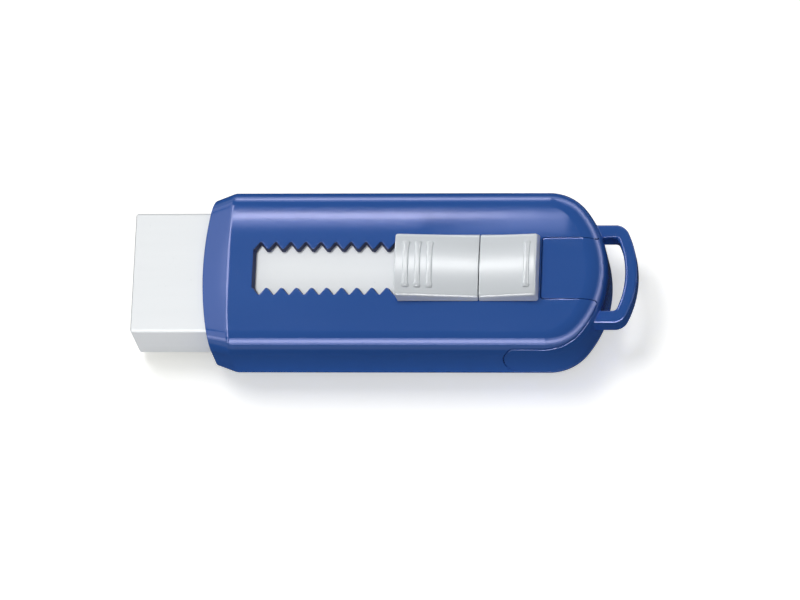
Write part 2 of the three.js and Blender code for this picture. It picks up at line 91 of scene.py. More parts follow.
def pick(kind, test):
    """Selects what passes the test, in the piece that is being edited."""
    bpy.ops.mesh.select_mode(type=kind)
    bpy.ops.mesh.select_all(action="DESELECT")
    chosen = [part for part in parts_of(kind) if test(part)]
    for part in chosen:
        part.select_set(True)
    bmesh.update_edit_mesh(bpy.context.object.data)
    return len(chosen)


def spot(vertex):
    return vertex.co / MM


def both(edge, test):
    return all(test(spot(vertex)) for vertex in edge.verts)


def runs_along(edge, axis):
    first, last = edge.verts
    return abs(first.co[axis] - last.co[axis]) > MM


def close_up(piece):
    """Merges doubles and turns every face outwards."""
    edit(piece)
    bpy.ops.mesh.select_all(action="SELECT")
    bpy.ops.mesh.remove_doubles(threshold=WELD)
    bpy.ops.mesh.normals_make_consistent(inside=False)
    put_down()


print("tools ready, 1 unit is", 1 / MM, "mm")

# %% [markdown]
# ## Drawing an outline
# A plan with tangent arcs is drawn as with a pen: a plane is merged to one point, the point is
# extruded along straight lines and spun round centres, and the closed line is filled and raised. A
# bevelled box could not give the bowed rear end with its two different radii.

# %% Pen, straight lines and arcs


def pen(name, x, y, z):
    put_down()
    bpy.ops.mesh.primitive_plane_add(size=MM)
    piece = bpy.context.object
    piece.name = name
    bpy.ops.object.mode_set(mode="EDIT")
    bpy.ops.mesh.select_mode(type="VERT")
    bpy.ops.mesh.select_all(action="SELECT")
    bpy.ops.mesh.merge(type="CENTER")
    bpy.ops.transform.translate(value=at(x, y, z))
    return piece


def line(dx, dy, dz=0):
    bpy.ops.mesh.extrude_region_move(TRANSFORM_OT_translate={"value": at(dx, dy, dz)})


def arc(x, y, z, turn, steps):
    """Counterclockwise seen from above; spin counts the other way."""
    bpy.ops.mesh.spin(steps=steps, angle=-radians(turn), center=at(x, y, z), axis=(0, 0, 1))


def raise_outline(piece, height):
    bpy.ops.mesh.select_all(action="SELECT")
    bpy.ops.mesh.remove_doubles(threshold=WELD)
    bpy.ops.mesh.select_all(action="SELECT")
    bpy.ops.mesh.edge_face_add()
    line(0, 0, height)
    close_up(piece)


def block(name, x0, x1, y0, y1, z0, z1):
    put_down()
    middle = at((x0 + x1) / 2, (y0 + y1) / 2, (z0 + z1) / 2)
    bpy.ops.mesh.primitive_cube_add(size=1, location=middle, scale=at(x1 - x0, y1 - y0, z1 - z0))
    bpy.ops.object.transform_apply(location=True, rotation=False, scale=True)
    bpy.context.object.name = name
    return bpy.context.object


def round_edges(radius, segments):
    bpy.ops.mesh.bevel(
        offset=radius * MM, segments=segments, profile=0.5, affect="EDGES", clamp_overlap=False)


print("pen ready")

# %% [markdown]
# ## The outer body
# The sleeve and the end cap share one smooth outside, so it is modelled once: the plan raised to
# its height, the long edges rounded, and the front drawn in to a tapered nose. The mouth's rim bows
# forwards at the middle, and so does the crease where the taper starts, a little less. The crease
# is rounded by a third of a millimetre, so that it catches a line of light.

# %% Plan of the body
WIDTH, TOP, REAR, MOUTH = 28.2, 15.2, 33.55, -33.55
EDGE_RADIUS, CORNER_RADIUS, BOW_RADIUS = 3.5, 8, 18
NOSE_LENGTH, NOSE_TAPER, RIM_BOW = 4.3, 1.1, 1.5
CREASE, CREASE_BOW, CREASE_EDGE = MOUTH + NOSE_LENGTH, 0.55, 0.35
MID_Z = TOP / 2

bow_x = REAR - BOW_RADIUS
corner_y = WIDTH / 2 - CORNER_RADIUS
corner_x = bow_x + sqrt((BOW_RADIUS - CORNER_RADIUS) ** 2 - corner_y**2)
bend = degrees(atan2(corner_y, corner_x - bow_x))


def plan_block(name, front, inset, z0, z1, radius, segments):
    half = WIDTH / 2 - inset
    piece = pen(name, front, -half, z0)
    line(corner_x - front, 0)
    arc(corner_x, -corner_y, z0, 90 - bend, 16)
    arc(bow_x, 0, z0, 2 * bend, 32)
    arc(corner_x, corner_y, z0, 90 - bend, 16)
    line(front - corner_x, 0)
    raise_outline(piece, z1 - z0)
    edit(piece)
    pick("EDGE", lambda e: not both(e, lambda p: p.x < front + HAIR)
         and (both(e, lambda p: p.z < z0 + HAIR) or both(e, lambda p: p.z > z1 - HAIR)))
    round_edges(radius, segments)
    close_up(piece)
    return piece


crease_ends = CREASE + CREASE_BOW
body = plan_block("body", crease_ends, 0, 0, TOP, EDGE_RADIUS, 12)
print("body plan: bend", round(bend, 2), "deg,", len(body.data.vertices), "points")

# %% Nose with its bowed rim
COLUMNS, COLUMN_STEP = 9, 1.1  # on each side of the middle line


def faces_front(face):
    return face.normal.x < -0.9


def bow_out(test, depth, half):
    """Pushes the vertices that pass the test forwards, most on the middle line."""
    rows = sorted({round(spot(v).y, 3) for v in parts_of("VERT") if test(spot(v))})
    for row in rows:
        pick("VERT", lambda v: test(spot(v)) and abs(spot(v).y - row) < SAME_ROW)
        bpy.ops.transform.translate(value=at(-depth * (1 - (row / half) ** 2), 0, 0))


edit(body)
for column in range(-COLUMNS, COLUMNS + 1):
    pick("FACE", faces_front)
    bpy.ops.mesh.bisect(plane_co=at(0, column * COLUMN_STEP, 0), plane_no=(0, 1, 0))
bow_out(lambda p: p.x < crease_ends + HAIR, CREASE_BOW, WIDTH / 2)

rim_ends = MOUTH + RIM_BOW
pick("FACE", faces_front)
line(rim_ends - crease_ends, 0)
taper = (1, 1 - 2 * NOSE_TAPER / WIDTH, 1 - 2 * NOSE_TAPER / TOP)
bpy.ops.transform.resize(value=taper, center_override=at(rim_ends, 0, MID_Z))
bow_out(lambda p: p.x < rim_ends + HAIR, RIM_BOW - CREASE_BOW, WIDTH / 2 - NOSE_TAPER)
pick("EDGE", lambda e: both(e, lambda p: CREASE - HAIR < p.x < crease_ends + HAIR))
round_edges(CREASE_EDGE, 4)
close_up(body)
print("body reaches from", round(min(spot(v).x for v in body.data.vertices), 2), "to",
      round(max(spot(v).x for v in body.data.vertices), 2), "mm")

# %% [markdown]
# ## Tools that carve the sleeve
# A moulded sleeve is hollow: a cavity for the carrier, a mouth that fits the block, a toothed slot
# for the slider, and the seats of the end cap. Each is a solid of its own that a Boolean takes
# away, which keeps the sizes of both pieces of a seam tied together. The teeth are one tooth,
# repeated by an Array. The slot narrows downwards, as a moulded hole does to let go of its core, so
# its walls show from above.

# %% Cavity and mouth
SIDE_WALL, TOP_WALL, LIP, INNER_EDGE = 2.05, 1.2, 4.6, 1.6
BLOCK_WIDTH, BLOCK_THICKNESS, MOUTH_GAP, MOUTH_CORNER = 20.8, 11.3, 0.3, 0.7
PAST_RIM, PAST_LIP, PAST_REAR, PAST_TOP = 6, 1, 8, 3  # how far the tools stick out of what they cut


def loose_edges(piece):
    """Edges that don't join exactly two faces; none on a closed piece."""
    shape = bmesh.new()
    shape.from_mesh(piece.data)
    count = sum(len(edge.link_faces) != 2 for edge in shape.edges)
    shape.free()
    return count


def carve(piece, tool, how="DIFFERENCE"):
    take(piece)
    bpy.ops.object.modifier_add(type="BOOLEAN")
    step = piece.modifiers[-1]
    step.operation, step.solver, step.object = how, "MANIFOLD", tool
    bpy.ops.object.modifier_apply(modifier=step.name)
    print(piece.name, how.lower(), tool.name, "->", len(piece.data.polygons), "faces,",
          loose_edges(piece), "open")


def copy_of(piece, name):
    take(piece)
    bpy.ops.object.duplicate()
    bpy.context.object.name = name
    return bpy.context.object


cavity = plan_block("cavity", MOUTH + LIP, SIDE_WALL, TOP_WALL, TOP - TOP_WALL, INNER_EDGE, 9)
half_y, half_z = BLOCK_WIDTH / 2 + MOUTH_GAP, BLOCK_THICKNESS / 2 + MOUTH_GAP
mouth = block("mouth", MOUTH - PAST_RIM, MOUTH + LIP + PAST_LIP,
              -half_y, half_y, MID_Z - half_z, MID_Z + half_z)
edit(mouth)
pick("EDGE", lambda e: runs_along(e, X))
round_edges(MOUTH_CORNER, 8)
close_up(mouth)
print("mouth", 2 * half_y, "x", round(2 * half_z, 2), "mm")

# %% Toothed slot
SLOT_SETBACK, SLOT_END, SLOT_WIDTH, SLOT_DRAFT = 8.4, 21.125, 6.8, 0.25
SLOT_FRONT = MOUTH + SLOT_SETBACK
TEETH, PITCH, TOOTH_DEPTH, TOOTH_FLAT = 18, 2.5, 1.2, 0.3

slot = pen("slot", SLOT_FRONT, SLOT_WIDTH / 2, TOP)
flank = PITCH / 2 - TOOTH_FLAT
line(TOOTH_FLAT / 2, 0)
line(flank, TOOTH_DEPTH)
line(TOOTH_FLAT, 0)
line(flank, -TOOTH_DEPTH)
line(TOOTH_FLAT / 2, 0)
take(slot)
bpy.ops.object.modifier_add(type="ARRAY")
row = slot.modifiers[-1]
row.count, row.use_relative_offset, row.use_constant_offset = TEETH, False, True
row.constant_offset_displace = at(PITCH, 0, 0)
row.use_merge_vertices, row.merge_threshold = True, WELD
bpy.ops.object.modifier_apply(modifier=row.name)

teeth_end = SLOT_FRONT + TEETH * PITCH
edit(slot)
pick("VERT", lambda v: spot(v).x > teeth_end - HAIR)
line(SLOT_END - teeth_end, 0)
take(slot)
bpy.ops.object.modifier_add(type="MIRROR")
twin = slot.modifiers[-1]
twin.use_axis = (False, True, False)
twin.use_mirror_merge = False
bpy.ops.object.modifier_apply(modifier=twin.name)
edit(slot)
for end in (min, max):
    limit = end(spot(v).x for v in parts_of("VERT"))
    pick("VERT", lambda v: abs(spot(v).x - limit) < HAIR)
    bpy.ops.mesh.edge_face_add()
raise_outline(slot, PAST_TOP)
edit(slot)
pick("FACE", lambda f: f.normal.z < -0.9)
bpy.ops.mesh.inset(thickness=SLOT_DRAFT * MM, depth=TOP_WALL * MM)
line(0, 0, -PAST_TOP)
# The front wall leans twice as much as the sides
pick("VERT", lambda v: spot(v).z < TOP - TOP_WALL + HAIR
     and spot(v).x < SLOT_FRONT + SLOT_DRAFT + 0.1)
bpy.ops.transform.translate(value=at(SLOT_DRAFT, 0, 0))
close_up(slot)
print("slot tool:", len(slot.data.polygons), "faces for", TEETH, "teeth on each side")

# %% Seats of the end cap
PART_GAP, SLOT_BAR, ARM_LENGTH, ARM_NOSE = 0.12, 1.6, 17.1, 2
BAND_LOW, BAND_DROP = 3.6, 1.7
NOTCH_FRONT, ARM_FRONT, BAND_HIGH = SLOT_END + SLOT_BAR, REAR - ARM_LENGTH, TOP - BAND_DROP
TONGUE_HALF, TONGUE_CORNER, SEAT_CORNER = 5.25, 0.5, 0.9


def band_tool(name, gap):
    """The band seen from the side: a bar with a rounded front, squeezed to the arms' short nose."""
    low, high = BAND_LOW - gap, BAND_HIGH + gap
    half = (high - low) / 2
    nose_end = ARM_FRONT - gap + ARM_NOSE
    front = nose_end - half
    piece = block(name, front, REAR + PAST_REAR, -WIDTH, WIDTH, low, high)
    edit(piece)
    pick("EDGE", lambda e: both(e, lambda p: p.x < front + HAIR) and runs_along(e, Y))
    round_edges(half * 0.999, 20)  # just short of half, so that the two rounds don't meet
    pick("VERT", lambda v: spot(v).x < nose_end + 0.001)
    bpy.ops.transform.resize(value=(ARM_NOSE / half, 1, 1), center_override=at(nose_end, 0, 0))
    close_up(piece)
    return piece


def tongue_tool(name, gap):
    half, front = TONGUE_HALF + gap, NOTCH_FRONT + PART_GAP - gap
    piece = block(name, front, REAR + PAST_REAR, -half, half, MID_Z, TOP + PAST_TOP)
    edit(piece)
    pick("EDGE", lambda e: both(e, lambda p: p.x < front + HAIR) and runs_along(e, Z))
    round_edges(TONGUE_CORNER, 6)
    close_up(piece)
    return piece


def seat_tool(name, gap):
    """Band and tongue in one, with the inner corners between them rounded."""
    piece, tongue = band_tool(name, gap), tongue_tool("tongue", gap)
    carve(piece, tongue, "UNION")
    bpy.data.objects.remove(tongue)
    edit(piece)
    pick("EDGE", lambda e: both(e, lambda p: abs(abs(p.y) - TONGUE_HALF - gap) < HAIR
                                and abs(p.z - BAND_HIGH - gap) < HAIR))
    round_edges(SEAT_CORNER - gap, 6)
    close_up(piece)
    return piece


sleeve = copy_of(body, "sleeve_shell")
for tool in (cavity, mouth, slot, seat_tool("seat", PART_GAP)):
    carve(sleeve, tool)
    if tool is not cavity:
        bpy.data.objects.remove(tool)
print("sleeve carved:", len(sleeve.data.polygons), "faces")

# %% [markdown]
# ## The end cap
# The cap fills the seats that were just cut: a band with two side arms, and a tongue let into the
# top face behind the slot. It keeps the body's own outside, so it is the body cut down to those two
# shapes and hollowed by the same cavity. The lanyard loop is drawn in plan as one closed line and
# joined on.

# %% Band, tongue and loop
LOOP_HALF, LOOP_ARM, LOOP_BAR, LOOP_REACH = 8.55, 2.25, 2, 4.75
LOOP_TOP, LOOP_THICKNESS, LOOP_RADIUS = 12.3, 4, 17
LOOP_CORNER, LOOP_INNER_CORNER, LOOP_EDGE = 2.4, 0.8, 0.4

cap = copy_of(body, "end_cap_shell")
seat = seat_tool("band_and_tongue", 0)
carve(cap, seat, "INTERSECT")
carve(cap, cavity)

loop_x = REAR + LOOP_REACH - LOOP_RADIUS
start = REAR - BOW_RADIUS / 2  # of the loop's arms, inside the cap


def bow_corner(radius, half, corner):
    """Where a rounded corner's centre lies inside the bow, and how far the bow turns to it."""
    y = half - corner
    x = sqrt((radius - corner) ** 2 - y**2)
    return loop_x + x, y, degrees(atan2(y, x))


outer_x, outer_y, outer_bend = bow_corner(LOOP_RADIUS, LOOP_HALF, LOOP_CORNER)
inner_half = LOOP_HALF - LOOP_ARM
inner_x, inner_y, inner_bend = bow_corner(LOOP_RADIUS - LOOP_BAR, inner_half, LOOP_INNER_CORNER)
floor_z = LOOP_TOP - LOOP_THICKNESS
loop = pen("loop", start, -LOOP_HALF, floor_z)
line(outer_x - start, 0)
arc(outer_x, -outer_y, floor_z, 90 - outer_bend, 14)
arc(loop_x, 0, floor_z, 2 * outer_bend, 24)
arc(outer_x, outer_y, floor_z, 90 - outer_bend, 14)
line(start - outer_x, 0)
line(0, -LOOP_ARM)
line(inner_x - start, 0)
arc(inner_x, inner_y, floor_z, inner_bend - 90, 10)
arc(loop_x, 0, floor_z, -2 * inner_bend, 24)
arc(inner_x, -inner_y, floor_z, inner_bend - 90, 10)
line(start - inner_x, 0)
line(0, -LOOP_ARM)
raise_outline(loop, LOOP_THICKNESS)
edit(loop)
pick("EDGE", lambda e: max(spot(v).x for v in e.verts) >= start + HAIR
     and (both(e, lambda p: p.z < floor_z + HAIR) or both(e, lambda p: p.z > LOOP_TOP - HAIR)))
round_edges(LOOP_EDGE, 4)
close_up(loop)
carve(loop, cavity)
carve(cap, loop, "UNION")
for tool in (seat, loop, cavity, body):
    bpy.data.objects.remove(tool)
print("end cap:", len(cap.data.polygons), "faces, loop out to",
      round(max(spot(v).x for v in cap.data.vertices), 2), "mm")

# %% [markdown]
# ## Broken edges
# No moulded edge is razor sharp, and the fine bright lines along the seams in a product photograph
# come from edges that are broken by about a tenth of a millimetre. Every edge that turns by more
# than the steps of the fillets gets such a bevel, and weighted normals keep the flats flat beside
# it. The seams stay sharp only where they run down over the rear rim, on edges shorter than the
# bevel is wide.

# %% Break the edges of both mouldings
BROKEN, SHARP = 0.14, 13  # width in millimetres, and the least turn in degrees


def over_the_rim(p):
    """The short stretch where the seams beside the tongue run down over the rounded rear rim."""
    beside_tongue = abs(abs(p.y) - TONGUE_HALF) < SEAT_CORNER + 0.2
    return beside_tongue and p.x > REAR - 5 and BAND_HIGH - 0.3 < p.z < TOP + HAIR


def break_edges(piece, width, sharp):
    edit(piece)
    bpy.ops.mesh.select_all(action="SELECT")
    bpy.ops.mesh.remove_doubles(threshold=4 * WELD)
    bpy.ops.mesh.dissolve_limited(angle_limit=radians(0.2))
    bpy.ops.mesh.select_mode(type="EDGE")
    bpy.ops.mesh.select_all(action="DESELECT")
    bpy.ops.mesh.edges_select_sharp(sharpness=radians(sharp))
    sharp_ones = {e.index for e in bmesh.from_edit_mesh(piece.data).edges if e.select}
    pick("EDGE", lambda e: e.index in sharp_ones and not both(e, over_the_rim))
    round_edges(width, 3)
    bpy.ops.mesh.select_all(action="SELECT")
    bpy.ops.mesh.dissolve_degenerate(threshold=WELD)
    bpy.ops.mesh.normals_make_consistent(inside=False)
    # Points that the bevels left a hair below the top face are put back on it
    pick("VERT", lambda v: spot(v).z > TOP - 0.012)
    bpy.ops.transform.resize(value=(1, 1, 0), center_override=at(0, 0, TOP))
    put_down()


def soften(piece, angle=40):
    take(piece)
    bpy.ops.object.shade_smooth_by_angle(angle=radians(angle))
    bpy.ops.object.modifier_add(type="WEIGHTED_NORMAL")
    piece.modifiers[-1].keep_sharp = True
    bpy.ops.object.modifier_apply(modifier=piece.modifiers[-1].name)


for piece in (sleeve, cap):
    break_edges(piece, BROKEN, SHARP)
    soften(piece)
    print(piece.name, len(piece.data.polygons), "faces,", loose_edges(piece), "open")

# %% [markdown]
# ## The eraser block
# A cut block of white vinyl. A box with a wide bevel would look like a moulding, so the long edges
# are rounded by little more than half a millimetre, and the edges of both ends by less.

# %% Eraser block
BLOCK_LENGTH, BLOCK_REACH, LONG_EDGE, END_EDGE = 65, 11.8, 0.6, 0.4
BLOCK_TIP = MOUTH - BLOCK_REACH
BLOCK_END = BLOCK_TIP + BLOCK_LENGTH
low, high = MID_Z - BLOCK_THICKNESS / 2, MID_Z + BLOCK_THICKNESS / 2
eraser = block("eraser", BLOCK_TIP, BLOCK_END, -BLOCK_WIDTH / 2, BLOCK_WIDTH / 2, low, high)
edit(eraser)
pick("EDGE", lambda e: runs_along(e, X))
round_edges(LONG_EDGE, 6)
pick("EDGE", lambda e: both(e, lambda p: p.x < BLOCK_TIP + HAIR)
     or both(e, lambda p: p.x > BLOCK_END - HAIR))
round_edges(END_EDGE, 5)
close_up(eraser)
soften(eraser)
print("eraser", round(BLOCK_END - BLOCK_TIP, 2), "mm long")

# %% [markdown]
# ## The thumb pads
# Two white mouldings sit end to end on the carrier's rail. Their tops form one shallow saddle,
# lowest at the seam and crowned across, so each starts as a grid whose columns and rows are lifted
# to that form. The rim is drawn down to the foot, Solidify gives the wall, and the outer edges are
# rounded.

# %% Pad sizes
PAD_LIFT, PAD_STOP, FRONT_LENGTH, REAR_LENGTH = 0.15, 0.3, 14, 9.8
PAD_BASE, PAD_REAR = TOP + PAD_LIFT, NOTCH_FRONT - PAD_STOP
SEAM = PAD_REAR - REAR_LENGTH
PAD_FRONT = SEAM - FRONT_LENGTH
PAD_HALF, PAD_DRAFT, PAD_CROWN, SEAM_GAP = 5.75, 0.45, 0.6, 0.16
FRONT_RISE, SEAM_RISE, REAR_RISE, SADDLE = 2, 0.95, 2.05, 0.3
top_half = PAD_HALF - PAD_DRAFT


def rise(x):
    """Height of the pads' long edges above their foot."""
    length = SEAM - PAD_FRONT if x < SEAM else PAD_REAR - SEAM
    share = abs(x - SEAM) / length
    gain = (FRONT_RISE if x < SEAM else REAR_RISE) - SEAM_RISE
    return SEAM_RISE + gain * ((1 - SADDLE) * share + SADDLE * share**2)


def crown(y):
    return PAD_CROWN * (1 - (y / top_half) ** 2)


print("pad edges", rise(PAD_FRONT), rise(SEAM), rise(PAD_REAR), "mm high")

# %% A pad from a grid
PAD_WALL = 0.6


def thumb_pad(name, x0, x1, outer, lean):
    put_down()
    bpy.ops.mesh.primitive_grid_add(x_subdivisions=20, y_subdivisions=18, size=MM)
    piece = bpy.context.object
    piece.name = name
    edit(piece)
    bpy.ops.mesh.select_all(action="SELECT")
    bpy.ops.transform.resize(value=(x1 - x0, 2 * top_half, 1))
    bpy.ops.transform.translate(value=at((x0 + x1) / 2, 0, PAD_BASE))
    for x in sorted({round(spot(v).x, 3) for v in parts_of("VERT")}):
        pick("VERT", lambda v: abs(spot(v).x - x) < SAME_ROW)
        bpy.ops.transform.translate(value=at(0, 0, rise(x)))
    for y in sorted({round(spot(v).y, 3) for v in parts_of("VERT")}):
        pick("VERT", lambda v: abs(spot(v).y - y) < SAME_ROW)
        bpy.ops.transform.translate(value=at(0, 0, crown(y)))
    bpy.ops.mesh.select_mode(type="FACE")
    bpy.ops.mesh.select_all(action="SELECT")
    bpy.ops.mesh.region_to_loop()
    line(0, 0, 0)
    bpy.ops.transform.resize(value=(1, PAD_HALF / top_half, 0), center_override=at(0, 0, PAD_BASE))
    pick("VERT", lambda v: spot(v).z < PAD_BASE + HAIR and abs(spot(v).x - outer) < HAIR)
    bpy.ops.transform.translate(value=at(lean, 0, 0))
    bpy.ops.mesh.select_all(action="SELECT")
    bpy.ops.mesh.normals_make_consistent(inside=False)
    take(piece)
    bpy.ops.object.modifier_add(type="SOLIDIFY")
    wall = piece.modifiers[-1]
    wall.thickness, wall.offset, wall.use_even_offset = PAD_WALL * MM, -1, True
    bpy.ops.object.modifier_apply(modifier=wall.name)
    edit(piece)
    # Solidify leaves the foot of the wall a little uneven, so it is pressed flat
    pick("VERT", lambda v: spot(v).z < PAD_BASE + 0.15)
    bpy.ops.transform.resize(value=(1, 1, 0), center_override=at(0, 0, PAD_BASE))
    return piece


print("pad wall", PAD_WALL, "mm")

# %% Rounded pads
PAD_EDGE, SEAM_EDGE, SEAM_TURN = 0.4, 0.12, 0.6  # the least turn of the seam's edges is in radians
FRONT_LEAN, REAR_LEAN = 0.6, 0.3  # of the pads' outer ends


def round_pad(piece, outer_end, seam_end):
    """Rounds the rim and the outer corners, and only just breaks the edge at the seam."""
    edit(piece)

    def on_side(p):
        return abs(abs(p.y) - top_half) < HAIR / 2

    def on_end(p, end):
        return abs(p.x - end) < HAIR / 2

    def rim(e):
        high = both(e, lambda p: p.z > PAD_BASE + 0.7)
        ahead = both(e, lambda p: on_end(p, outer_end) and abs(p.y) < top_half + HAIR / 2)
        return high and not runs_along(e, Z) and (both(e, on_side) or ahead)

    def corner(e):
        return runs_along(e, Z) and any(
            on_end(spot(v), outer_end) and on_side(spot(v)) for v in e.verts)

    def seam(e):
        """The sharp edges of the seam's end: across the top, and down the sides."""
        at_side = max(abs(spot(v).y) for v in e.verts) > top_half - 0.45
        lowest = PAD_BASE - HAIR if at_side else PAD_BASE + 0.9
        return e.calc_face_angle(0) > SEAM_TURN and both(
            e, lambda p: on_end(p, seam_end) and p.z > lowest)

    rim_count = pick("EDGE", lambda e: rim(e) or corner(e))
    round_edges(PAD_EDGE, 6)
    seam_count = pick("EDGE", seam)
    round_edges(SEAM_EDGE, 3)
    close_up(piece)
    print(piece.name, "rim edges", rim_count, "seam edges", seam_count, "open", loose_edges(piece))


front_end, rear_end, rear_top = SEAM - SEAM_GAP / 2, SEAM + SEAM_GAP / 2, PAD_REAR - REAR_LEAN
front_pad = thumb_pad("front_pad", PAD_FRONT, front_end, PAD_FRONT, FRONT_LEAN)
rear_pad = thumb_pad("rear_pad", rear_end, rear_top, rear_top, REAR_LEAN)
round_pad(front_pad, PAD_FRONT, front_end)
round_pad(rear_pad, rear_top, rear_end)

# %% [markdown]
# ## Grip ribs
# Three ribs on the front pad and one on the rear let the thumb push either way. Each is a low
# rounded bar that widens at both ends, so it is modelled once from a cylinder: rings are cut into
# it, the end rings are spread, and each ring is lowered to follow the pads' crown. Copies are
# joined to the pads.

# %% One rib, four places
RIB_LENGTH, RIB_RADIUS, RIB_HEIGHT, RIB_PITCH = 8, 0.5, 0.45, 1.94
FRONT_INSET, REAR_INSET = 1.95, 1.9
SPREAD_Z = -0.2  # the end rings spread from a little below the rib's axis
RIB_RINGS = (0, 1, 2, 2.9, 3.35, 3.7)
RIB_ENDS = {3.35: (1.12, 1), 3.7: (1.35, 1), 4.0: (1.12, 0.7)}  # ring: wider by, higher by
RIB_PLACES = [PAD_FRONT + FRONT_INSET + k * RIB_PITCH for k in range(3)] + [PAD_REAR - REAR_INSET]

put_down()
bpy.ops.mesh.primitive_cylinder_add(
    vertices=24, radius=RIB_RADIUS * MM, depth=RIB_LENGTH * MM, rotation=(radians(90), 0, 0))
bpy.ops.object.transform_apply(location=False, rotation=True, scale=False)
rib = bpy.context.object
rib.name = "rib"
edit(rib)
for cut in sorted({side * ring for ring in RIB_RINGS for side in (-1, 1)}):
    bpy.ops.mesh.select_all(action="SELECT")
    bpy.ops.mesh.bisect(plane_co=at(0, cut, 0), plane_no=(0, 1, 0))
for y in sorted({round(spot(v).y, 2) for v in parts_of("VERT")}):
    pick("VERT", lambda v: abs(spot(v).y - y) < 2 * HAIR)
    wide, high = RIB_ENDS.get(abs(y), (1, 1))
    bpy.ops.transform.resize(value=(wide, 1, high), center_override=at(0, y, SPREAD_Z))
    bpy.ops.transform.translate(value=at(0, 0, crown(y) - PAD_CROWN))
close_up(rib)

for number, x in enumerate(RIB_PLACES):
    bar = copy_of(rib, f"rib_{number}")
    edit(bar)
    bpy.ops.mesh.select_all(action="SELECT")
    lift = PAD_BASE + rise(x) + PAD_CROWN + RIB_HEIGHT - RIB_RADIUS
    bpy.ops.transform.translate(value=at(x, 0, lift))
    carve(front_pad if x < SEAM else rear_pad, bar, "UNION")
    bpy.data.objects.remove(bar)
bpy.data.objects.remove(rib)
for piece in (front_pad, rear_pad):
    soften(piece, 50)
print("ribs at", [round(x, 2) for x in RIB_PLACES])

# %% [markdown]
# ## Finishes as arithmetic
# A material is a small sum: a colour, plus a little cloud, plus grain. `Wire` wraps a socket so
# that such sums can be written as plain Python, each operator adding one Math node, and its `node`
# method makes any other node from its type, its settings and what its sockets get. Every pattern is
# laid in object coordinates, so it stays on the piece however that moves.

# %% Wires


class Wire:
    def __init__(self, tree, socket):
        self.tree, self.socket = tree, socket

    def node(self, kind, settings, values, out=0):
        made = self.tree.nodes.new(kind)
        for name, value in settings.items():
            setattr(made, name, value)
        for name, value in values.items():
            if isinstance(value, Wire):
                self.tree.links.new(value.socket, made.inputs[name])
            else:
                made.inputs[name].default_value = value
        return Wire(self.tree, made.outputs[out])

    def math(self, operation, first, second):
        return self.node("ShaderNodeMath", {"operation": operation}, {0: first, 1: second})

    def __add__(self, other):
        return self.math("ADD", self, other)

    __radd__ = __add__

    def __sub__(self, other):
        return self.math("SUBTRACT", self, other)

    def __rsub__(self, other):
        return self.math("SUBTRACT", other, self)

    def __mul__(self, other):
        return self.math("MULTIPLY", self, other)

    __rmul__ = __mul__

    def cloud(self, scale, detail=2, stretch=(1, 1, 1)):
        """Noise from 0 to 1 with about this many lumps to the metre."""
        place = self.node("ShaderNodeMapping", {}, {"Vector": self, "Scale": stretch})
        return place.node("ShaderNodeTexNoise", {},
                          {"Vector": place, "Scale": scale, "Detail": detail})

    def between(self, low, high):
        """0 below low, 1 above high, and a soft step between."""
        return self.node("ShaderNodeMapRange", {"interpolation_type": "SMOOTHSTEP"},
                         {"Value": self, "From Min": low, "From Max": high})

    def axes(self, *numbers):
        """The parts of a place along these axes, as one wire each."""
        return [self.node("ShaderNodeSeparateXYZ", {}, {0: self}, number) for number in numbers]

    def tint(self, first, second):
        return self.node("ShaderNodeMix", {"data_type": "RGBA"}, {0: self, 6: first, 7: second}, 2)

    def bump(self, height):
        """A normal from this pattern, which stands up by height in millimetres."""
        return self.node("ShaderNodeBump", {},
                         {"Height": self, "Distance": height * MM, "Strength": 1.0})


def colour(red, green, blue):
    """A colour as the eye reads it on screen, 0 to 255, turned into linear light."""
    def linear(part):
        part = part / 255
        return part / 12.92 if part <= 0.04045 else ((part + 0.055) / 1.055) ** 2.4
    return (linear(red), linear(green), linear(blue), 1)


def finish(name, **constants):
    material = bpy.data.materials.new(name)
    material.use_nodes = True
    tree = material.node_tree
    shader = tree.nodes["Principled BSDF"]
    for socket, value in constants.items():
        shader.inputs[socket.replace("_", " ")].default_value = value
    place = Wire(tree, tree.nodes.new("ShaderNodeTexCoord").outputs["Object"])
    return material, shader, place


def feed(shader, **wires):
    for socket, wire in wires.items():
        wire.tree.links.new(wire.socket, shader.inputs[socket.replace("_", " ")])


print("wires ready")

# %% [markdown]
# ## Blue plastic
# The sleeve and its cap are glossy moulded plastic of one deep blue. Real gloss is never a mirror:
# the steel mould leaves a fine grain, the colour flows a little unevenly, and handling leaves faint
# rubs. All three are kept weak, because the clean highlights along the edges are what makes it look
# moulded. The walls of the slot are duller, as the core that forms them isn't polished like the
# outside, and they are painted a darker blue as painted shade, where they lie in shade.

# %% Blue plastic
FADE = 0.1  # in millimetres, the width of the masks' soft edges


def within(offset, limit):
    """1 where an offset, either way, is less than this many millimetres."""
    return 1 - (offset * offset).between((limit * MM) ** 2, ((limit + FADE) * MM) ** 2)


blue, shader, place = finish("blue_plastic", IOR=1.46, Specular_IOR_Level=0.35)
flow = place.cloud(90, 3, (0.4, 1, 1))
grain = place.cloud(5200, 2)
rubs = place.cloud(420, 4, (0.12, 1, 1)).between(0.6, 0.78)
along, across, height = place.axes(X, Y, Z)
middle, reach = (SLOT_FRONT + SLOT_END) / 2, (SLOT_END - SLOT_FRONT) / 2
below_top = 1 - height.between((TOP - 1.5 * FADE) * MM, (TOP - 0.5 * FADE) * MM)
# painted shade: the slot's walls get a dark navy tint where they lie in shade, and are also made
# rougher
wall = within(along - middle * MM, reach) * below_top
wall = wall * within(across, SLOT_WIDTH / 2 + TOOTH_DEPTH + FADE)
plain = flow.tint(colour(40, 81, 151), colour(45, 87, 159))
feed(shader,
     Base_Color=wall.tint(plain, colour(22, 38, 80)),
     Roughness=0.08 + 0.03 * flow + 0.03 * grain + 0.04 * rubs + 0.5 * wall,
     Normal=grain.bump(0.0003))
print("blue plastic:", len(blue.node_tree.nodes), "nodes")

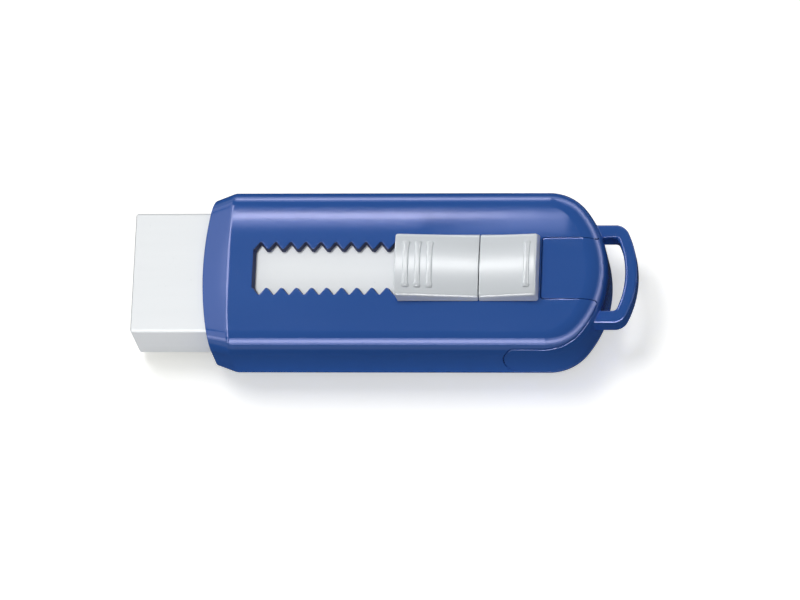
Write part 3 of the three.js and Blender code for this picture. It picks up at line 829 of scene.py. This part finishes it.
# %% [markdown]
# ## White plastic
# The thumb pads and the carrier are satin white plastic, cooler and duller than the sleeve. The
# grain is coarser, so that highlights spread over the crown of the pads, and the gloss varies a
# little, as skin oil leaves it.

# %% White plastic
white, shader, place = finish("white_plastic", IOR=1.46, Specular_IOR_Level=0.5)
flow = place.cloud(120, 3)
grain = place.cloud(3600, 3)
feed(shader,
     Base_Color=flow.tint(colour(206, 211, 215), colour(213, 218, 222)),
     Roughness=0.26 + 0.06 * flow + 0.06 * grain,
     Normal=grain.bump(0.0025))
print("white plastic:", len(white.node_tree.nodes), "nodes")

# %% [markdown]
# ## Eraser vinyl
# The block is soft white vinyl filled with chalk. It is matt, with a fine even tooth from the
# knife, a few darker specks of filler, and long shallow drag marks where the sleeve rubs it. The
# edges at the back and the tip are painted grey, as painted shade along the edges, which keeps the
# outline clear on white.

# %% Eraser vinyl
vinyl, shader, place = finish("eraser_vinyl", IOR=1.5)
tooth = place.cloud(2600, 4)
drag = place.cloud(700, 2, (0.06, 1, 1))
specks = place.cloud(1900, 1).between(0.72, 0.8)
along, across = place.axes(X, Y)
# painted shade: the edges at the back and the tip are tinted grey as a dark outline
far_edge = across.between((BLOCK_WIDTH / 2 - 0.3) * MM, (BLOCK_WIDTH / 2 - 0.1) * MM)
tip_edge = (0 - along).between((-BLOCK_TIP - 0.25) * MM, (-BLOCK_TIP - 0.05) * MM)
painted_edge_shade = far_edge.math("MAXIMUM", far_edge, tip_edge)
plain = (0.4 * specks + 0.25 * drag).tint(colour(241, 244, 246), colour(226, 230, 232))
feed(shader,
     Base_Color=painted_edge_shade.tint(plain, colour(178, 181, 184)),
     Roughness=0.42 + 0.1 * tooth,
     Normal=(0.7 * tooth + 0.5 * drag).bump(0.006))
print("eraser vinyl:", len(vinyl.node_tree.nodes), "nodes")

# %% [markdown]
# ## Spring steel
# The detent spring under the pads is a thin rolled strip. Rolling leaves streaks along the strip,
# drawn here as noise that is stretched along the sleeve.

# %% Spring steel
steel, shader, place = finish("spring_steel", Metallic=1.0)
streaks = place.cloud(2400, 3, (0.05, 1, 1))
feed(shader,
     Base_Color=streaks.tint(colour(176, 180, 184), colour(205, 208, 211)),
     Roughness=0.24 + 0.18 * streaks,
     Normal=streaks.bump(0.001))
print("spring steel:", len(steel.node_tree.nodes), "nodes")

# %% [markdown]
# ## Riding the bodies
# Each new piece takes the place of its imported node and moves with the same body: the sleeve and cap
# stay still, the pads travel with the slider, and the block can be drawn out. The carrier and the
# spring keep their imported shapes, which are right as they are, and only get a finish.

# %% Bodies, slots and finishes
for piece, node, body_name, slot_name, material in (
    (sleeve, "sleeve", "sleeve_body", "blue_plastic", blue),
    (cap, "end_cap", "sleeve_body", "blue_plastic", blue),
    (front_pad, "front_thumb_pad", "slider", "white_plastic", white),
    (rear_pad, "rear_thumb_pad", "slider", "white_plastic", white),
    (eraser, "eraser_block", "refill", "eraser_vinyl", vinyl),
):
    piece.data.materials.clear()
    piece.data.materials.append(material)
    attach(piece, body_name)
    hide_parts(node)
for node, material in (("carrier", white), ("detent_spring", steel)):
    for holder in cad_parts[node].material_slots:
        holder.material = material
print("five pieces placed, two packed nodes finished")

# %% [markdown]
# ## Floor and room
# Both are white to the camera, and dimmer where they light the object. The room's ceiling and
# ground are darker in the gloss, so that flat faces keep their own colour and don't mirror an even
# white.

# %% Floor
PAPER_GLOW, PAPER_BLUE = 0.46, 0.92  # the glow is a little less blue than white
put_down()
bpy.ops.mesh.primitive_plane_add(size=6)
floor = bpy.context.object
floor.name = "floor"
paper, shader, place = finish(
    "white_paper", Roughness=0.9, Specular_IOR_Level=0.1, Emission_Strength=1.0)
fibre = place.cloud(900, 2)


def seen_directly(tree):
    """1 for rays from the camera, from gloss and through glass, and 0 for light on things."""
    ray = tree.nodes.new("ShaderNodeLightPath")
    seen = Wire(tree, ray.outputs["Is Camera Ray"])
    for kind in ("Is Glossy Ray", "Is Transmission Ray"):
        seen = seen.math("MAXIMUM", seen, Wire(tree, ray.outputs[kind]))
    return seen


glow = seen_directly(paper.node_tree) * PAPER_GLOW
tinted = glow.node("ShaderNodeCombineColor", {}, {0: glow, 1: glow, 2: glow * PAPER_BLUE})
feed(shader,
     Base_Color=fibre.tint(colour(238, 238, 239), colour(241, 241, 242)),
     Emission_Color=tinted)
floor.data.materials.append(paper)
floor.visible_glossy = False
print("floor of paper:", len(paper.node_tree.nodes), "nodes")

# %% Room
ROOM_LIGHT, CEILING, GROUND = 0.37, 0.15, 0.02
room = bpy.data.worlds.new("room")
bpy.context.scene.world = room
room.use_nodes = True
tree = room.node_tree
sky = tree.nodes["Background"]
sky.inputs["Color"].default_value = (1, 1, 1, 1)
way = Wire(tree, tree.nodes.new("ShaderNodeTexCoord").outputs["Generated"])
height = way.axes(Z)[0]  # of the direction, from -1 straight down to 1 straight up
ceiling, ground = height.between(0.15, 0.5), 1 - height.between(-0.2, -0.02)
walls = 1 - (1 - CEILING) * ceiling - (1 - GROUND) * ground
seen = seen_directly(tree)
level = ROOM_LIGHT * (1 - seen) + walls * seen
tree.links.new(level.socket, sky.inputs["Strength"])
print("room lights things at", ROOM_LIGHT)

# %% [markdown]
# ## Camera
# The view is from almost straight above, a little from the front and the right, through a long
# lens, so that the sleeve's edges stay parallel. The camera is rolled until the sleeve lies level
# in the frame.

# %% Camera
VIEW = Vector((0.12, -0.318, 0.94)).normalized()
AIM_RIGHT, AIM_UP, AIM_NEARER = -2.305, -0.38, 11  # from the origin, as the camera sees it
DISTANCE = 1100
lens = bpy.data.cameras.new("camera")
lens.lens, lens.sensor_width, lens.clip_end = 300, 36, 20
eye = bpy.data.objects.new("camera", lens)
bpy.context.scene.collection.objects.link(eye)
right = (Vector((1, 0, 0)) - VIEW * VIEW.x).normalized()
up = VIEW.cross(right)
target = right * AIM_RIGHT + up * AIM_UP + VIEW * AIM_NEARER
eye.matrix_world = (Matrix.Translation((target + VIEW * DISTANCE) * MM)
                    @ Matrix((right, up, VIEW)).transposed().to_4x4())
bpy.context.scene.camera = eye
bpy.context.scene.view_settings.view_transform = "Standard"
print("camera", DISTANCE, "mm away, lens", lens.lens, "mm")

# %% [markdown]
# ## Softboxes
# A soft key from behind throws the shadow to the front and the right. The block has a soft light of
# its own, so that its white can be set without the blue, and two weak lamps lift the sleeve's near
# side and its nose. They stay out of the gloss, where they would wash out the edges; only the
# block's fill shows in it. Each lamp is kept to the pieces that it is meant for, as with flags.

# %% Lamps and flags
WHITE = (1, 1, 1)
flags = {}


def lamp(name, place, aim, along, width, height, brightness, tone=WHITE):
    """A softbox whose width lies along a direction; brightness 1 is the white of a lit page."""
    data = bpy.data.lights.new(name, "AREA")
    data.shape, data.size, data.size_y = "RECTANGLE", width * MM, height * MM
    data.energy = brightness * pi * width * MM * height * MM
    data.color = tone
    box = bpy.data.objects.new(name, data)
    bpy.context.scene.collection.objects.link(box)
    back = (Vector(place) - Vector(aim)).normalized()
    side = (Vector(along) - back * back.dot(Vector(along))).normalized()
    turn = Matrix((side, back.cross(side), back)).transposed().to_4x4()
    box.matrix_world = Matrix.Translation(Vector(place) * MM) @ turn
    box.visible_camera = False
    return box


def only_for(box, pieces):
    """Keeps a lamp's light to these pieces, as a photographer's flags would.

    Lamps for the same pieces share one list, because the renderer keeps no more than 64 of them.
    """
    if pieces not in flags:
        flags[pieces] = bpy.data.collections.new(f"lit_{len(flags)}")
        for piece in pieces:
            flags[pieces].objects.link(piece)
    box.light_linking.receiver_collection = flags[pieces]


print("lamps ready")

# %% Key and fills
LENGTHWAYS, CROSSWAYS = (1, 0, 0), (0, 1, 0)
shells, pads = (sleeve, cap), (front_pad, rear_pad)
inner = tuple(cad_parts[node] for node in ("carrier", "detent_spring"))
most = shells + pads + inner + (floor,)
for pieces, in_gloss, *setting in (
    # pieces, shows in the gloss, name, place, aim, direction, width, height, brightness
    (most, False, "key", (-190, 255, 760), (0, 0, 8), LENGTHWAYS, 330, 330, 10.9),
    ((eraser,), False, "eraser_top", (-70, -90, 760), (-20, 0, 10), LENGTHWAYS, 260, 260, 15.6),
    ((eraser,), True, "eraser_fill", (-30, -200, 100), (-30, 0, 8), LENGTHWAYS, 120, 120, 2),
    (shells, False, "bounce", (0, -20, 0.4), (0, -14, 3), LENGTHWAYS, 64, 5, 2),
    (shells, False, "nose_fill", (-120, -60, 14), (-33, -11, 8), CROSSWAYS, 60, 40, 3),
):
    box = lamp(*setting)
    box.visible_glossy = in_gloss
    only_for(box, pieces)
print(len(bpy.data.lights), "softboxes")

# %% [markdown]
# ## Highlights
# The other lamps are a studio's reflectors: they cast no light and only show in the gloss. Each is
# set by the mirror rule, from the point where its highlight lies and the way that the face leans
# there. Tilt is how far the face leans from level, and turn is where to: 0 is the front, 90 the
# loop, 180 the back and -90 the nose. Tilt and turn are in degrees, sizes and distances in
# millimetres.

# %% The mirror rule
LAVENDER, PALE_BLUE = (0.76, 0.74, 1), (0.56, 0.61, 1)


def mirrored(point, tilt, turn, distance):
    """The place that the lens sees in a mirror at this point."""
    lean, way = radians(tilt), radians(turn)
    face = Vector((sin(lean) * sin(way), -sin(lean) * cos(way), cos(lean)))
    return Vector(point) + (2 * face.dot(VIEW) * face - VIEW) * distance


def glint(pieces, name, point, tilt, turn, distance, width, height, brightness,
          tone=WHITE, along=None):
    """A lamp that only shows in the gloss, at a point whose face leans by tilt towards turn."""
    place = mirrored(point, tilt, turn, distance)
    along = along or (cos(radians(turn)), sin(radians(turn)), 0)
    box = lamp(name, place, point, along, width, height, brightness, tone)
    box.visible_diffuse = False
    only_for(box, pieces)


print("mirror rule ready")

# %% Top face and long edges
# The strip on the top face fades towards the rear, as a stack of strips that each end sooner
STRIP_FRONT, STRIP_Y, ABOVE_TOP = -30.7, 9.6, 26
for reach in range(33, 59, 5):
    point = (STRIP_FRONT + reach / 2, STRIP_Y, TOP)
    glint(shells, f"back_strip_{reach}", point, 0, 0, ABOVE_TOP, reach, 0.9, 5.6, LAVENDER)
for step in range(4):
    point = (16 + 2 * step, 8.1 + 0.25 * step, TOP)
    width, height = 23 - 4 * step, 4.2 - 0.5 * step
    glint(shells, f"back_end_{step}", point, 0, 0, ABOVE_TOP, width, height, 1.6, PALE_BLUE)
FAR_EDGE, NEAR_EDGE = (-2, 12.4, 14.7), (-4, -12.4, 14.7)
for setting in (
    # name, point, tilt, turn, distance, width, height, brightness, tone
    ("back_glow", (-14, 8.4, TOP), 0, 0, ABOVE_TOP, 34, 1.6, 6, PALE_BLUE),
    ("far_line", FAR_EDGE, 27, 180, 300, 98, 60, 10.5, LAVENDER),
    ("far_glow", FAR_EDGE, 27, 180, 300, 90, 170, 4, PALE_BLUE),
    ("near_edge", NEAR_EDGE, 33.5, 0, 450, 110, 120, 10, LAVENDER),
    ("near_glow", NEAR_EDGE, 34, 0, 450, 110, 290, 9.5, PALE_BLUE),
):
    glint(shells, *setting)
print(len(bpy.data.lights), "lamps so far")

# %% [markdown]
# ## Ring and seams
# Round the rear end the highlight runs along the fillet. It is tiled from short lamps, each as long
# as the way between the mirrored places at both ends of its step, so that no gap or bead shows. The
# fine lines along the seams come from lamps that stand so close to them that little else mirrors
# them.

# %% Ring round the rear rim
RING_STEP, RING_END, RING_DISTANCE = 9, 162, 35
SIDE_TILT, REAR_TILT = 33.5, 50.6  # where the line lies on the near side and at the rear end


def on_rim(tilt, turn):
    """The point on the fillet round the rear end where the face leans like this."""
    at_corner = abs(turn - 90) > bend
    side = -corner_y if turn < 90 else corner_y
    x, y, radius = (corner_x, side, CORNER_RADIUS) if at_corner else (bow_x, 0, BOW_RADIUS)
    lean, way = radians(tilt), radians(turn)
    out = radius - EDGE_RADIUS * (1 - sin(lean))
    return (x + out * sin(way), y - out * cos(way), TOP - EDGE_RADIUS * (1 - cos(lean)))


def rim_tilt(turn):
    return SIDE_TILT + 0.19 * turn if turn < 90 else REAR_TILT - 0.31 * (turn - 90)


def ring_place(turn):
    tilt = rim_tilt(turn)
    return mirrored(on_rim(tilt, turn), tilt, turn, RING_DISTANCE)


for turn in range(RING_STEP, RING_END + 1, RING_STEP):
    tilt = rim_tilt(turn)
    point = on_rim(tilt, turn)
    along = ring_place(turn + RING_STEP / 2) - ring_place(turn - RING_STEP / 2)
    bright = 3.8 + 7 * max(0, 90 - turn) / 90
    for name, distance, height, share, tone in (
        ("ring", RING_DISTANCE, 9, 1, LAVENDER),
        ("ring_glow", RING_DISTANCE + 1, 24, 0.6, PALE_BLUE),
    ):
        glint(shells, f"{name}_{turn}", point, tilt, turn, distance, along.length, height,
              bright * share, tone, along)
print(len(bpy.data.lights), "lamps so far")

# %% Lines along the seams
CLOSE, LINE_TILT = 1.2, 27
far_seam, near_seam = (27, TONGUE_HALF, TOP), (28, -TONGUE_HALF - PART_GAP, TOP)
glint((cap,), "tongue_far", far_seam, LINE_TILT, 180, CLOSE, 9, 0.6, 60, PALE_BLUE)
glint((sleeve,), "seat_near", near_seam, LINE_TILT, 180, CLOSE, 7.6, 0.6, 80, PALE_BLUE)
band_out = CORNER_RADIUS - 0.5
for turn in range(8, 57, 12):
    way = radians(turn)
    point = (corner_x + band_out * sin(way), -corner_y - band_out * cos(way), BAND_HIGH)
    glint((cap,), f"band_{turn}", point, 32, turn, RING_DISTANCE, 12, 12, 26, PALE_BLUE)
print(len(bpy.data.lights), "lamps so far")

# %% [markdown]
# ## Nose, block, loop and pads
# The nose is lit like a facet of its own, brightest at the crease. The block's near edge, the
# loop's edges and the pads' crown, rims and ribs each get the one highlight that gives their form.

# %% Crease and nose
DOWN_THE_CREASE, DOWN_THE_FOLD = Vector((-0.1, -0.9, -0.25)), Vector((-0.14, -0.53, -0.38))
for setting in (
    # name, point, tilt, turn, distance, width, height, brightness, tone, direction of the width
    ("crease", (CREASE, 0, TOP - 0.1), 7, -90, 300, 180, 60, 16, LAVENDER),
    ("nose_glow", (CREASE - 0.5, 0, TOP - 0.15), 14.4, -90, 40, 44, 2.6, 3, LAVENDER),
    ("nose", (CREASE - 2, 0, TOP - 0.5), 14.4, -90, 300, 260, 90, 3.4, LAVENDER),
    ("crease_near", (CREASE, -11, 15), 18, -25, 300, 150, 60, 14, LAVENDER, DOWN_THE_CREASE),
    ("crease_edge", (CREASE, -12.2, 14.6), 34, -16, 450, 80, 200, 12, LAVENDER),
    ("nose_fold", (-31.5, -11.5, 13.8), 32.5, -43, 300, 230, 110, 3.6, LAVENDER, DOWN_THE_FOLD),
    ("nose_edge", (-31.5, -11.8, 13.6), 37, -38, 300, 110, 40, 6, LAVENDER),
    ("nose_far", (-31.2, 11, 14.2), 24, -125, 300, 120, 90, 2.6, LAVENDER),
):
    glint(shells, *setting)
print(len(bpy.data.lights), "lamps so far")

# %% Block, loop and pads
for pieces, *setting in (
    # pieces, name, point, tilt, turn, distance, width, height, brightness, tone
    ((eraser,), "eraser_edge", (-39, -9.8, 13), 35, 0, 200, 60, 50, 40),
    ((cap,), "loop_edge", (36, -8, LOOP_TOP), 45, 10, 40, 20, 14, 8, PALE_BLUE),
    ((cap,), "loop_bar", (36.3, 0, LOOP_TOP), 20, -90, 40, 16, 10, 8, PALE_BLUE),
    (pads, "pad_crown", (10.5, 0, 17), 0, 0, 22, 30, 3.5, 24),
    (pads, "pad_near_rim", (10.5, -5.2, 16.6), 40, 0, 200, 110, 60, 24),
    (pads, "pad_far_rim", (10.5, 5.2, 16.6), 30, 180, 200, 110, 40, 12),
    (pads, "pad_rear_rim", (22, 0, 17), 35, 90, 200, 110, 60, 16),
    (pads, "ribs", (5, 0, 17.5), 28, -90, 200, 110, 60, 22),
):
    glint(pieces, *setting)
print(len(flags), "lists of pieces for", len(bpy.data.lights), "lamps")
